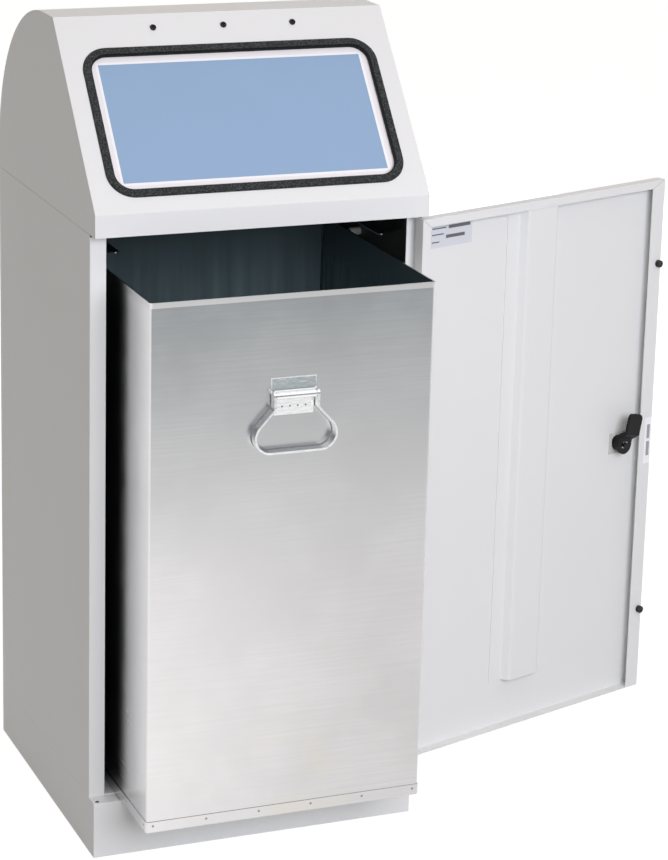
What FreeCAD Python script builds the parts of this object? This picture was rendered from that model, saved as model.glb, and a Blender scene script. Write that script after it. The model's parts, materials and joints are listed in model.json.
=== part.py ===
"""Waste sorting cabinet: plinth, body, hood with a sprung flap, hinged door and a pull-out inner bin."""

import math
import os

import FreeCAD
import Part

# Cabinet, outside sizes in millimetres. X runs to the right, Y to the back, Z up.
width = 400.0
depth = 395.0
plinth_height = 68.0
opening_height = 675.0
band_height = 26.0
slope_run = 164.0
slope_rise = 193.0
roll_radius = 190.0

# Sheet metal and the straps that hold the hood on the body.
sheet = 1.2
ledge = 20.0
flange_width = 19.0
seam_gap = 0.5
fold_radius = 1.2
crease_radius = 3.0
corner_relief = 2.5
header_depth = 34.0
strap_height = 24.0
strap_thickness = 1.5
strap_front_inset = 60.0
strap_back_inset = 40.0
strap_side_inset = 50.0

# Small pieces on the inside of the body. The tabs reach over the bin's rim and keep it from tipping.
tab_reach = 42.0
tab_length = 110.0
tab_slant = 23.0
tab_setback = 42.5
tab_drop = 28.0
tab_height = 15.0
tab_thickness = 1.5
tab_corner = 4.0
stud_radius = 4.7
stud_length = 13.0
stud_drop = 12.0
stud_setback = 203.0
guide_size = 14.0
guide_thickness = 1.5
guide_clearance = 0.8
guide_front_inset = 80.0
guide_back_inset = 47.0

# Door, modelled shut and then turned open on its pivot pins.
door_open_angle = 198.0
door_gap = 3.0
door_side_gap = 1.0
door_depth = 14.0
door_edge_radius = 1.5
free_lip = 20.0
hinge_lip = 12.0
top_lip = 10.0
mitre_gap = 0.5
pivot_inset = 6.0
pin_radius = 2.4
pin_engagement = 10.0
pin_end = 3.0
collar_radius = 4.8
collar_gap = 0.1
bush_width = 9.0
bush_height = 12.0
stiffener_front = 46.0
stiffener_foot = 20.0
stiffener_slant = 6.0
stiffener_bend = 3.0
stiffener_offset = 5.0
stiffener_low_gap = 60.0
stiffener_gap = 0.5
buffer_radius = 4.5
buffer_inset = 5.5
buffer_from_end = 106.0
buffer_gap = 0.3

# Quarter-turn lock, modelled locked and then turned.
cam_open_angle = 78.0
lock_inset = 48.0
bezel_radius = 13.0
bezel_height = 2.0
barrel_radius = 9.2
barrel_reach = 10.2
core_radius = 6.5
core_sink = 0.4
clip_size = 27.0
clip_thickness = 1.5
key_radius = 4.4
key_depth = 6.0
cam_thickness = 4.0
cam_width = 23.0
cam_hub_radius = 12.0
cam_hub_gap = 0.3
cam_root = 1.0
cam_hook_gap = 1.0
cam_tip_gap = 6.0
cam_tip_corner = 6.0
drive_square = 8.0
cam_screw_radius = 2.0
cam_screw_length = 9.0
cam_screw_head = 7.0
cam_screw_head_height = 2.6

# Feed opening in the slope, its edge trim and the flap behind it.
trim_side_margin = 21.5
trim_low_margin = 19.0
trim_high_margin = 42.8
trim_corner = 31.0
trim_width = 10.5
trim_bite = 7.0
trim_front = 2.4
trim_back = 2.0
trim_back_step = 2.0
trim_chamfer = 1.5
hinge_above = 6.5
screw_above = 17.6
screw_pitch = 85.0
screw_radius = 2.0
screw_length = 6.0
screw_head_radius = 3.6
screw_head_height = 2.0
screw_socket = 2.5
screw_socket_depth = 1.4
hinge_pin_radius = 2.0
hinge_pin_end = 3.0
knuckle_wall = 1.5
knuckle_length = 30.0
knuckle_gap = 0.4
leaf_thickness = 1.5
leaf_end = 25.0
leaf_margin = 8.0
leaf_width = 20.0
spring_length = 48.0
spring_gap = 2.0
spring_wire = 1.5
spring_leg = 14.0
flap_thickness = 1.5
flap_gap = 0.5
flap_side_overlap = 10.5
flap_low_overlap = 7.5
flap_top_gap = 11.0
flap_corner = 15.0
label_margin = 9.5
label_thickness = 0.4

# Inner bin, modelled pushed in and then drawn forward.
pull_out = 136.4
bin_side_space = 32.5
bin_inset = 40.0
bin_back_space = 15.0
bin_top_space = 51.0
bin_wall = 1.0
bin_corner = 3.0
bin_floor_gap = 0.3
hem_height = 6.5
hem_proud = 0.9
base_upstand = 13.4

# Drop handle on the bin's front.
handle_drop = 115.0
plate_thickness = 1.5
plate_upper_half = 27.0
plate_lower_half = 23.5
plate_up = 19.0
plate_down = 24.0
bead_wall = 1.35
bail_pin_radius = 3.05
bail_pin_length = 16.0
bail_clearance = 1.0
bail_end_gap = 1.0
bail_strap = 10.0
bail_thickness = 2.6
bail_half_width = 54.0
bail_foot_half = 46.0
bail_neck = 14.6
bail_shoulder = 41.2
bail_drop = 66.5
bail_neck_bend = 4.0
bail_shoulder_bend = 14.0
bail_foot_bend = 16.0

# Fits shared by several pieces.
running_fit = 0.05
hole_fit = 0.2
cut_past = 5.0

# Places that follow from the sizes above.
half = width / 2
inner = half - sheet
front = -depth / 2
back = depth / 2
flange_front = front + ledge
flange_back = flange_front + sheet
hood_z = plinth_height + opening_height
band_z = hood_z + band_height
crest_z = band_z + slope_rise
wall_top = hood_z - seam_gap
slope_angle = math.degrees(math.atan2(slope_rise, slope_run))
slope_length = math.hypot(slope_run, slope_rise)
floor_z = plinth_height + sheet

door_low = plinth_height + door_gap
door_high = hood_z - door_gap
door_half = half - door_side_gap
door_skin = front + sheet
door_inside = front + door_depth
door_lip_back = door_inside - sheet
pivot_x = half - pivot_inset
pivot_y = front + pivot_inset
lock_x = -door_half + lock_inset
lock_z = (door_low + door_high) / 2
barrel_y = door_skin + barrel_reach
hub_y = barrel_y + cam_hub_gap
hub_back_y = hub_y + cam_thickness
hook_y = flange_back + cam_hook_gap

bin_half = half - bin_side_space
bin_front = front + bin_inset
bin_back = back - bin_back_space
bin_low = floor_z + bin_floor_gap
bin_high = hood_z - bin_top_space
handle_y = bin_front - plate_thickness - bail_clearance - bail_strap / 2
handle_z = bin_high - handle_drop
bead_radius = bail_pin_radius + bead_wall

trim_half = half - trim_side_margin
trim_high = slope_length - trim_high_margin
hinge_s = trim_high + hinge_above
screw_s = hinge_s + screw_above
screw_xs = (-screw_pitch, 0.0, screw_pitch)
knuckle_radius = hinge_pin_radius + knuckle_wall
leaf_under = -sheet - leaf_thickness
hinge_n = leaf_under - knuckle_radius
leaf_half = screw_pitch + leaf_end
flap_face = -sheet - trim_back - flap_gap
flap_rear = flap_face - flap_thickness
flap_low = trim_low_margin + trim_bite - flap_low_overlap
flap_high = hinge_s - flap_top_gap


def vec(x, y, z):
    return FreeCAD.Vector(x, y, z)


def block(x0, x1, y0, y1, z0, z1):
    """Box between two opposite corners."""
    return Part.makeBox(x1 - x0, y1 - y0, z1 - z0, vec(x0, y0, z0))


def rod(radius, start, end):
    """Round bar between two points."""
    span = vec(*end) - vec(*start)
    return Part.makeCylinder(radius, span.Length, vec(*start), span)


def post(radius, x, y, z0, z1):
    """Upright round bar."""
    return rod(radius, (x, y, z0), (x, y, z1))


def rounded_face(points, radii):
    """Flat face in the XY plane whose corners are each rounded to their own radius."""
    corners = []
    count = len(points)
    for i in range(count):
        corner = vec(points[i][0], points[i][1], 0)
        before = vec(points[i - 1][0], points[i - 1][1], 0) - corner
        after = vec(points[(i + 1) % count][0], points[(i + 1) % count][1], 0) - corner
        before.normalize()
        after.normalize()
        if radii[i] <= 0:
            corners.append((corner, None, corner))
            continue
        half_angle = before.getAngle(after) / 2
        reach = radii[i] / math.tan(half_angle)
        middle_way = before + after
        middle_way.normalize()
        middle = corner + middle_way * (radii[i] / math.sin(half_angle) - radii[i])
        corners.append((corner + before * reach, middle, corner + after * reach))
    edges = []
    for i in range(count):
        start, middle, end = corners[i]
        if middle is not None:
            edges.append(Part.Arc(start, middle, end).toShape())
        following = corners[(i + 1) % count][0]
        if (following - end).Length > 1e-6:
            edges.append(Part.makeLine(end, following))
    return Part.Face(Part.Wire(edges))


def offset_path(points, distance):
    """Path beside an open path, on its left, with mitred corners."""
    sides = []
    for a, b in zip(points, points[1:]):
        length = math.hypot(b[0] - a[0], b[1] - a[1])
        sides.append((-(b[1] - a[1]) / length, (b[0] - a[0]) / length))
    moved = []
    for i, point in enumerate(points):
        before = sides[max(i - 1, 0)]
        after = sides[min(i, len(sides) - 1)]
        share = distance / (1 + before[0] * after[0] + before[1] * after[1])
        x = point[0] + (before[0] + after[0]) * share
        y = point[1] + (before[1] + after[1]) * share
        moved.append((x, y))
    return moved


def folded_face(points, bends, thickness):
    """Section of a folded strip: the path is one skin and the other lies on its left."""
    other = offset_path(points, thickness)
    other_bends = []
    for i, bend in enumerate(bends):
        a, b, c = points[i], points[i + 1], points[i + 2]
        turn = (b[0] - a[0]) * (c[1] - b[1]) - (b[1] - a[1]) * (c[0] - b[0])
        other_bends.append(max(0.0, bend - thickness if turn > 0 else bend + thickness))
    radii = [0] + list(bends) + [0, 0] + other_bends[::-1] + [0]
    return rounded_face(list(points) + other[::-1], radii)


def along_x(face, x0, x1):
    """Section drawn with Y across and Z up, pushed along X."""
    solid = face.extrude(vec(0, 0, x1 - x0))
    solid.Placement = FreeCAD.Placement(vec(x0, 0, 0), FreeCAD.Rotation(vec(1, 1, 1), 120))
    return solid


def along_y(face, y0, y1):
    """Section drawn with X across and Z up, pushed along Y."""
    solid = face.extrude(vec(0, 0, y1 - y0))
    solid.Placement = FreeCAD.Placement(vec(0, y1, 0), FreeCAD.Rotation(vec(1, 0, 0), 90))
    return solid


def along_z(face, z0, z1):
    """Section drawn in plan, pushed upward."""
    solid = face.extrude(vec(0, 0, z1 - z0))
    solid.translate(vec(0, 0, z0))
    return solid


def pad(half_x, low_y, high_y, radius, z0, z1):
    """Slab with rounded corners, centred on X."""
    points = [(-half_x, low_y), (half_x, low_y), (half_x, high_y), (-half_x, high_y)]
    return along_z(rounded_face(points, [radius] * 4), z0, z1)


def trim_pad(inset, z0, z1):
    """Slab of the trim's outline, drawn in all round."""
    low, high = trim_low_margin + inset, trim_high - inset
    return pad(trim_half - inset, low, high, trim_corner - inset, z0, z1)


def on_slope(shape):
    """Moves a piece drawn flat, Y up the slope and Z out of it, onto the hood's slope."""
    turn = FreeCAD.Rotation(vec(1, 0, 0), slope_angle)
    moved = shape.copy()
    moved.Placement = FreeCAD.Placement(vec(0, front, band_z), turn).multiply(moved.Placement)
    return moved


def round_edges(shape, radius, wanted):
    """Rounds the edges whose bounding boxes pass a test."""
    return shape.makeFillet(radius, [edge for edge in shape.Edges if wanted(edge.BoundBox)])


def bevel_edges(shape, size, wanted):
    """Chamfers the edges whose bounding boxes pass a test."""
    return shape.makeChamfer(size, [edge for edge in shape.Edges if wanted(edge.BoundBox)])


def near(a, b):
    return abs(a - b) < 1e-4


def mirrored(shape):
    return shape.mirror(vec(0, 0, 0), vec(1, 0, 0))


def pair(shape):
    """A piece and its mirror image on the other side of the cabinet."""
    return Part.makeCompound([shape, mirrored(shape)])


def joined(shapes):
    """One solid from pieces that run into each other."""
    return shapes[0].multiFuse(shapes[1:]).removeSplitter()


def polygon(count, radius, start=0.0):
    """Corners of a regular polygon round the origin."""
    angles = [math.radians(start + 360 * k / count) for k in range(count)]
    return [(radius * math.cos(angle), radius * math.sin(angle)) for angle in angles]


def hexagon(across_flats):
    return polygon(6, across_flats / math.sqrt(3))


def make_plinth():
    def front_fold(box):
        return near(box.ZMin, plinth_height) and near(box.YMax, front)

    shape = block(-half, half, front, back, 0, plinth_height)
    shape = round_edges(shape, fold_radius, front_fold)
    shape = shape.cut(block(-inner, inner, front + sheet, back - sheet, -cut_past, plinth_height - sheet))
    for x in (-pivot_x, pivot_x):
        top = plinth_height + cut_past
        shape = shape.cut(post(pin_radius + running_fit, x, pivot_y, plinth_height - cut_past, top))
    return shape


def make_plinth_bottom():
    return block(-inner, inner, front + sheet, back - sheet, 0, sheet)


def make_floor():
    return block(-inner, inner, flange_back, back - sheet, plinth_height, floor_z)


def make_left_wall():
    path = [(-half, back), (-half, flange_front), (-half + flange_width, flange_front)]
    shape = along_z(folded_face(path, [fold_radius], sheet), plinth_height, wall_top)
    notch = block(
        -half - cut_past,
        -half + corner_relief,
        flange_front - cut_past,
        flange_front + corner_relief,
        wall_top - corner_relief,
        wall_top + cut_past,
    )
    return shape.cut(notch)


def make_back_wall():
    return block(-inner, inner, back - sheet, back, plinth_height, wall_top)


def hood_skins():
    """Outer and inner skins of the hood, from the front foot over the crest to the back foot."""
    outer = [
        (front, hood_z),
        (front, band_z),
        (front + slope_run, crest_z),
        (back, crest_z),
        (back, hood_z),
    ]
    return outer, offset_path(outer[::-1], sheet)[::-1]


def make_right_cheek():
    inside = hood_skins()[1]
    face = rounded_face(inside, [0, crease_radius - sheet, 0, roll_radius - sheet, 0])
    return along_x(face, inner, half)


def make_hood_front():
    outer, inside = hood_skins()
    face = rounded_face(outer[:3] + inside[2::-1], [0, crease_radius, 0, 0, crease_radius - sheet, 0])
    header = block(-inner, inner, front + sheet / 2, front + header_depth, hood_z, hood_z + sheet)
    shape = joined([along_x(face, -half, half), header])
    shape = shape.cut(on_slope(trim_pad(trim_bite, -sheet - cut_past, cut_past)))
    for x in screw_xs:
        hole = post(screw_radius + hole_fit, x, screw_s, -cut_past, cut_past)
        shape = shape.cut(on_slope(hole))
    return shape.cut(post(pin_radius + running_fit, pivot_x, pivot_y, hood_z - cut_past, hood_z + cut_past))


def make_hood_roll():
    outer, inside = hood_skins()
    face = rounded_face(outer[2:] + inside[:1:-1], [0, roll_radius, 0, 0, roll_radius - sheet, 0])
    return along_x(face, -half, half)


def make_seam_straps():
    low = hood_z - strap_height / 2
    high = hood_z + strap_height / 2
    y0, y1 = front + strap_front_inset, back - strap_back_inset
    side = block(inner - strap_thickness, inner, y0, y1, low, high)
    reach = half - strap_side_inset
    rear = block(-reach, reach, back - sheet - strap_thickness, back - sheet, low, high)
    return Part.makeCompound([side, mirrored(side), rear])


def make_rim_tabs():
    tip = inner - tab_reach
    low = hood_z - tab_drop - tab_thickness
    high = low + tab_height
    y0 = front + tab_setback
    y1 = y0 + tab_length
    path = [(tip, low), (inner, low), (inner, high)]
    angle = along_y(folded_face(path, [fold_radius], tab_thickness), y0, y1)
    corners = [(tip, y0), (inner, y0 + tab_slant), (inner, y1), (tip, y1)]
    plan = along_z(rounded_face(corners, [tab_corner, 0, 0, tab_corner]), low, high)
    return pair(angle.common(plan))


def make_wall_studs():
    y = front + stud_setback
    z = bin_high - stud_drop
    return pair(rod(stud_radius, (inner - stud_length, y, z), (inner, y, z)))


def make_bin_guides():
    clear = bin_half + bin_wall + guide_clearance
    path = [(clear, floor_z + guide_size), (clear, floor_z), (clear + guide_size, floor_z)]
    section = folded_face(path, [0], guide_thickness)
    return pair(along_y(section, front + guide_front_inset, back - guide_back_inset))


def make_trim():
    bead = trim_pad(0, 0, trim_front).cut(trim_pad(trim_width, -cut_past, cut_past))
    bead = bevel_edges(bead, trim_chamfer, lambda box: near(box.ZMin, trim_front))
    web = trim_pad(trim_bite, -sheet, 0)
    rear = trim_pad(trim_back_step, -sheet - trim_back, -sheet)
    clip = web.fuse(rear).cut(trim_pad(trim_width, -sheet - cut_past, cut_past))
    return on_slope(joined([bead, clip]))


def make_flap():
    half_x = trim_half - trim_bite + flap_side_overlap
    return on_slope(pad(half_x, flap_low, flap_high, flap_corner, flap_rear, flap_face))


def make_flap_label():
    inset = trim_width + label_margin
    side = trim_half - inset
    low, high = trim_low_margin + inset, trim_high - inset
    return on_slope(block(-side, side, low, high, flap_face, flap_face + label_thickness))


def hinge_rod(radius, x0, x1):
    """Round bar on the flap's hinge line, in the slope's own frame."""
    return rod(radius, (x0, hinge_s, hinge_n), (x1, hinge_s, hinge_n))


def fixed_knuckles():
    """Ends of the knuckles on the fixed leaf, one about each outer screw."""
    reach = knuckle_length / 2
    return [(side * screw_pitch - reach, side * screw_pitch + reach) for side in (-1, 1)]


def between_knuckles():
    """Room for the moving knuckle and the spring, between the fixed knuckles."""
    reach = screw_pitch - knuckle_length / 2 - knuckle_gap
    return -reach, reach


def make_fixed_leaf():
    low = hinge_s + knuckle_radius + hole_fit
    pieces = [block(-leaf_half, leaf_half, low, screw_s + leaf_margin, leaf_under, -sheet)]
    for x0, x1 in fixed_knuckles():
        pieces.append(hinge_rod(knuckle_radius, x0, x1))
        pieces.append(block(x0, x1, hinge_s, low, hinge_n, -sheet))
    shape = joined(pieces).cut(hinge_rod(hinge_pin_radius, -half, half))
    for x in screw_xs:
        shape = shape.cut(post(screw_radius, x, screw_s, leaf_under, -sheet))
    return on_slope(shape)


def make_moving_leaf():
    under = flap_rear - leaf_thickness
    pieces = [block(-leaf_half, leaf_half, flap_high - leaf_width, flap_high, under, flap_rear)]
    x0, x1 = between_knuckles()
    x1 = x1 - spring_length - 2 * spring_gap
    pieces.append(block(x0, x1, flap_high - leaf_width, hinge_s - hinge_pin_radius, under, flap_rear))
    pieces.append(hinge_rod(knuckle_radius, x0, x1))
    return on_slope(joined(pieces).cut(hinge_rod(hinge_pin_radius + running_fit, -half, half)))


def make_hinge_pin():
    reach = screw_pitch + knuckle_length / 2 + hinge_pin_end
    return on_slope(hinge_rod(hinge_pin_radius, -reach, reach))


def make_flap_spring():
    end = between_knuckles()[1] - spring_gap
    start = end - spring_length
    leg_s = hinge_s + hinge_pin_radius
    leg_n = leaf_under - spring_wire
    pieces = [hinge_rod(knuckle_radius, start, end)]
    for x in (start, end - spring_wire):
        pieces.append(block(x, x + spring_wire, leg_s, leg_s + spring_wire, hinge_n, leaf_under))
        pieces.append(block(x, x + spring_wire, leg_s, leg_s + spring_leg, leg_n, leaf_under))
    return on_slope(joined(pieces).cut(hinge_rod(hinge_pin_radius + hole_fit, -half, half)))


def make_hinge_screws():
    socket_floor = screw_head_height - screw_socket_depth
    solids = []
    for x in screw_xs:
        head = post(screw_head_radius, x, screw_s, 0, screw_head_height)
        shank = post(screw_radius, x, screw_s, -screw_length, 0)
        socket = along_z(rounded_face(hexagon(screw_socket), [0] * 6), socket_floor, screw_head_height)
        socket.translate(vec(x, screw_s, 0))
        solids.append(joined([head, shank]).cut(socket))
    return on_slope(Part.makeCompound(solids))


def make_pivot_pins():
    low = joined([
        post(pin_radius, pivot_x, pivot_y, plinth_height - sheet, door_low + pin_engagement),
        post(collar_radius, pivot_x, pivot_y, plinth_height, door_low - collar_gap),
    ])
    high = post(pin_radius, pivot_x, pivot_y, door_high - pin_engagement, hood_z + sheet + pin_end)
    return Part.makeCompound([low, high])


def mitre_slit(corner_x, inner_x):
    """Thin cut across two lips, from the door's top corner to the corner where the lips meet."""
    run = inner_x - corner_x
    length = math.hypot(run, top_lip)
    slit_end = length + mitre_gap
    slit = block(sheet, slit_end, door_lip_back, door_inside + cut_past, -mitre_gap / 2, mitre_gap / 2)
    slit.rotate(vec(0, 0, 0), vec(0, 1, 0), math.degrees(math.atan2(top_lip, run)))
    slit.translate(vec(corner_x, 0, door_high))
    return slit


def make_door_panel():
    lip_left = -door_half + free_lip
    lip_right = door_half - hinge_lip
    floor = door_low + sheet
    shape = block(-door_half, door_half, front, door_inside, door_low, door_high)
    shape = round_edges(shape, door_edge_radius, lambda box: near(box.YMax, front))
    well = block(-door_half + sheet, door_half - sheet, door_skin, door_lip_back, floor, door_high - sheet)
    window = block(lip_left, lip_right, door_skin, door_inside + cut_past, floor, door_high - top_lip)
    shape = shape.cut(well).cut(window)
    shape = shape.cut(mitre_slit(-door_half, lip_left)).cut(mitre_slit(door_half, lip_right))
    for z in (door_low, door_high):
        shape = shape.cut(post(pin_radius + running_fit, pivot_x, pivot_y, z - cut_past, z + cut_past))
    return shape.cut(lock_rod(barrel_radius + hole_fit, front - cut_past, door_lip_back))


def make_door_bushes():
    solids = []
    for plate, way in ((door_low, 1), (door_high, -1)):
        near_face = plate + way * sheet
        z0, z1 = sorted((near_face, near_face + way * bush_height))
        bush = block(pivot_x - bush_width, door_half - sheet, door_skin, door_lip_back, z0, z1)
        solids.append(bush.cut(post(pin_radius + running_fit, pivot_x, pivot_y, z0, z1)))
    return Part.makeCompound(solids)


def make_stiffener():
    deep = door_lip_back - door_skin - stiffener_gap - sheet
    crown = stiffener_front / 2
    root = crown + stiffener_slant
    edge = root + stiffener_foot
    path = [(-edge, 0), (-root, 0), (-crown, deep), (crown, deep), (root, 0), (edge, 0)]
    section = folded_face(path, [stiffener_bend] * 4, sheet)
    shape = along_z(section, door_low + stiffener_low_gap, door_high - sheet - stiffener_gap)
    shape.translate(vec(stiffener_offset, door_skin, 0))
    return shape


def make_door_buffers():
    x = -door_half + buffer_inset
    tip = flange_front - buffer_gap
    heights = (door_low + buffer_from_end, door_high - buffer_from_end)
    return Part.makeCompound([rod(buffer_radius, (x, door_inside, z), (x, tip, z)) for z in heights])


def lock_rod(radius, y0, y1):
    """Round bar on the lock's axis."""
    return rod(radius, (lock_x, y0, lock_z), (lock_x, y1, lock_z))


def lock_prism(points, radii, y0, y1):
    """Prism on the lock's axis, its section drawn with X across and Z up."""
    shape = along_y(rounded_face(points, radii), y0, y1)
    shape.translate(vec(lock_x, 0, lock_z))
    return shape


def lock_square(size, y0, y1):
    h = size / 2
    return block(lock_x - h, lock_x + h, y0, y1, lock_z - h, lock_z + h)


def make_lock_housing():
    bezel = lock_rod(bezel_radius, front - bezel_height, front)
    barrel = lock_rod(barrel_radius, front, barrel_y)
    return joined([bezel, barrel]).cut(lock_rod(core_radius + running_fit, front - cut_past, hub_y))


def make_lock_clip():
    h = clip_size / 2
    slot = barrel_radius + hole_fit
    outline = [(-h, -h), (h, -h), (h, h), (slot, h), (slot, -slot), (-slot, -slot), (-slot, h), (-h, h)]
    radii = [0, 0, 0, 0, slot, slot, 0, 0]
    return lock_prism(outline, radii, door_skin, door_skin + clip_thickness)


def make_lock_core():
    face = front - bezel_height + core_sink
    core = lock_rod(core_radius, face, hub_y)
    drive = lock_square(drive_square, hub_y, hub_back_y)
    key = lock_prism(polygon(3, key_radius, 90), [0] * 3, face - cut_past, face + key_depth)
    thread = lock_rod(cam_screw_radius, hub_back_y - cam_screw_length, hub_back_y + cut_past)
    return joined([core, drive]).cut(key).cut(thread)


def make_cam():
    low, high = lock_z - cam_width / 2, lock_z + cam_width / 2
    tongue_back = hook_y + cam_thickness
    crank = lock_x - cam_hub_radius - cam_root
    step = crank - cam_thickness
    tip = -door_half + cam_tip_gap

    def tip_corner(box):
        return near(box.XMax, tip) and near(box.YLength, cam_thickness)

    tongue = block(tip, crank, hook_y, tongue_back, low, high)
    shape = joined([
        lock_rod(cam_hub_radius, hub_y, hub_back_y),
        block(step, lock_x, hub_y, hub_back_y, low, high),
        block(step, crank, hub_y, tongue_back, low, high),
        round_edges(tongue, cam_tip_corner, tip_corner),
    ])
    return shape.cut(lock_square(drive_square, hub_y, hub_back_y))


def make_cam_screw():
    head = lock_prism(hexagon(cam_screw_head), [0] * 6, hub_back_y, hub_back_y + cam_screw_head_height)
    return joined([head, lock_rod(cam_screw_radius, hub_back_y - cam_screw_length, hub_back_y)])


def bin_plan(extra):
    """Plan outline of the bin, let out all round."""
    side = bin_half + extra
    y0, y1 = bin_front - extra, bin_back + extra
    return rounded_face([(-side, y0), (side, y0), (side, y1), (-side, y1)], [bin_corner + extra] * 4)


def make_bin_shell():
    low = bin_low + bin_wall
    hem = along_z(bin_plan(hem_proud), bin_high - hem_height, bin_high)
    shape = joined([along_z(bin_plan(0), low, bin_high), hem])
    return shape.cut(along_z(bin_plan(-bin_wall), low - cut_past, bin_high + cut_past))


def make_bin_base():
    top = bin_low + base_upstand
    tray = along_z(bin_plan(bin_wall), bin_low, top)
    return tray.cut(along_z(bin_plan(0), bin_low + bin_wall, top + cut_past))


def make_handle_plate():
    face = bin_front - plate_thickness
    reach = plate_lower_half
    pieces = [
        block(-plate_upper_half, plate_upper_half, face, bin_front, handle_z, handle_z + plate_up),
        block(-reach, reach, face, bin_front, handle_z - plate_down, handle_z),
        block(-reach, reach, handle_y, face, handle_z - bead_radius, handle_z + bead_radius),
        rod(bead_radius, (-reach, handle_y, handle_z), (reach, handle_y, handle_z)),
    ]
    bore = rod(bail_pin_radius + running_fit, (-half, handle_y, handle_z), (half, handle_y, handle_z))
    return joined(pieces).cut(bore)


def make_bail():
    neck = plate_lower_half + bail_end_gap + bail_thickness
    left = [
        (-neck, 0),
        (-neck, -bail_neck),
        (-bail_half_width, -bail_shoulder),
        (-bail_foot_half, -bail_drop),
    ]
    path = left + [(-x, z) for x, z in left[::-1]]
    bends = [bail_neck_bend, bail_shoulder_bend, bail_foot_bend]
    section = folded_face(path, bends + bends[::-1], bail_thickness)
    reach = bail_strap / 2
    strap = along_y(section, handle_y - reach, handle_y + reach)
    strap.translate(vec(0, 0, handle_z))
    pieces = [strap]
    eye = neck - bail_thickness
    for side in (-1, 1):
        end = (side * neck, handle_y, handle_z)
        pieces.append(rod(reach, (side * eye, handle_y, handle_z), end))
        pieces.append(rod(bail_pin_radius, (side * (eye - bail_pin_length), handle_y, handle_z), end))
    return joined(pieces)


def opened(shape):
    """Turns a door piece from shut to where it stands open."""
    moved = shape.copy()
    moved.rotate(vec(pivot_x, pivot_y, 0), vec(0, 0, 1), door_open_angle)
    return moved


def unlocked(shape):
    """Turns a cam piece from locked to released, then opens it with the door."""
    moved = shape.copy()
    moved.rotate(vec(lock_x, 0, lock_z), vec(0, 1, 0), cam_open_angle)
    return opened(moved)


def drawn(shape):
    """Slides a bin piece forward to where it stands."""
    moved = shape.copy()
    moved.translate(vec(0, -pull_out, 0))
    return moved


def build_nodes():
    left_wall = make_left_wall()
    right_cheek = make_right_cheek()
    return {
        "base_plinth": make_plinth(),
        "plinth_bottom": make_plinth_bottom(),
        "cabinet_floor": make_floor(),
        "left_side_wall": left_wall,
        "right_side_wall": mirrored(left_wall),
        "back_wall": make_back_wall(),
        "hood_left_cheek": mirrored(right_cheek),
        "hood_right_cheek": right_cheek,
        "hood_front_panel": make_hood_front(),
        "hood_roll_back": make_hood_roll(),
        "seam_straps": make_seam_straps(),
        "rim_tabs": make_rim_tabs(),
        "wall_studs": make_wall_studs(),
        "bin_guides": make_bin_guides(),
        "opening_trim": make_trim(),
        "flap_panel": make_flap(),
        "flap_label": make_flap_label(),
        "flap_fixed_leaf": make_fixed_leaf(),
        "flap_moving_leaf": make_moving_leaf(),
        "flap_hinge_pin": make_hinge_pin(),
        "flap_spring": make_flap_spring(),
        "flap_hinge_screws": make_hinge_screws(),
        "door_pivot_pins": make_pivot_pins(),
        "door_panel": opened(make_door_panel()),
        "door_stiffener": opened(make_stiffener()),
        "door_bushes": opened(make_door_bushes()),
        "door_buffers": opened(make_door_buffers()),
        "lock_housing": opened(make_lock_housing()),
        "lock_clip": opened(make_lock_clip()),
        "lock_core": unlocked(make_lock_core()),
        "lock_cam": unlocked(make_cam()),
        "cam_screw": unlocked(make_cam_screw()),
        "bin_shell": drawn(make_bin_shell()),
        "bin_base": drawn(make_bin_base()),
        "handle_plate": drawn(make_handle_plate()),
        "handle_bail": drawn(make_bail()),
    }


os.makedirs("parts", exist_ok=True)
for name, shape in build_nodes().items():
    shape.exportStep("parts/" + name + ".step")
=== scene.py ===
"""Waste sorting cabinet: finishes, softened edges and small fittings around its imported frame."""

import json
import math

import bmesh
import bpy
from bpy.props import FloatProperty, FloatVectorProperty, PointerProperty
from mathutils import Matrix, Vector


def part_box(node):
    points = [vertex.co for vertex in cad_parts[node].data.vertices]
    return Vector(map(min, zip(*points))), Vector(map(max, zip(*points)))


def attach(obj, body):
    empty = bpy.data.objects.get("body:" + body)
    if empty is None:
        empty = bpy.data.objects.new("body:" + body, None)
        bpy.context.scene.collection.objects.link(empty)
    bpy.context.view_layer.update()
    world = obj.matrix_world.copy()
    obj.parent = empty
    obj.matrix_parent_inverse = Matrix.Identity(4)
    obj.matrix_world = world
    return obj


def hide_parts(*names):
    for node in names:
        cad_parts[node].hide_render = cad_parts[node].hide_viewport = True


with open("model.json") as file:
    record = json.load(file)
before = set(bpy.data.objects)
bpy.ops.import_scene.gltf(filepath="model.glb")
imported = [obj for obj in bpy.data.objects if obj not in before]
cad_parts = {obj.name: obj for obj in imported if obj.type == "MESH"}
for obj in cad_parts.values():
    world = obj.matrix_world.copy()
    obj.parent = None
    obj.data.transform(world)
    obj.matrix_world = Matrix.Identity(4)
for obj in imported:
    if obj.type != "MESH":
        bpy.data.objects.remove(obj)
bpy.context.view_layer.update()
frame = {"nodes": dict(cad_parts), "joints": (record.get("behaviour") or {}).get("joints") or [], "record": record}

bl_info = {
    "name": "Waste sorting cabinet",
    "version": (1, 0, 0),
    "blender": (4, 5, 0),
    "location": "3D View > Sidebar > Cabinet",
    "description": "Dresses the packed cabinet with its finishes, softened edges and small fittings",
    "category": "Object",
}

NODES = frame["nodes"]
JOINTS = {joint["name"]: joint for joint in frame["joints"]}
BODY_OF = {node: body for body, nodes in frame["record"]["behaviour"]["bodies"].items() for node in nodes}
SLOT_OF = {part["node"]: part["material_slot"] for part in frame["record"]["subparts"]}

# Points nearer than this are one point, and faces flatter than this to each other are one face. Edges sharper
# than the last angle are rounded.
MERGE_DISTANCE = 0.000005
FLAT_ANGLE = math.radians(0.5)
SHARP_ANGLE = math.radians(28)

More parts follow.
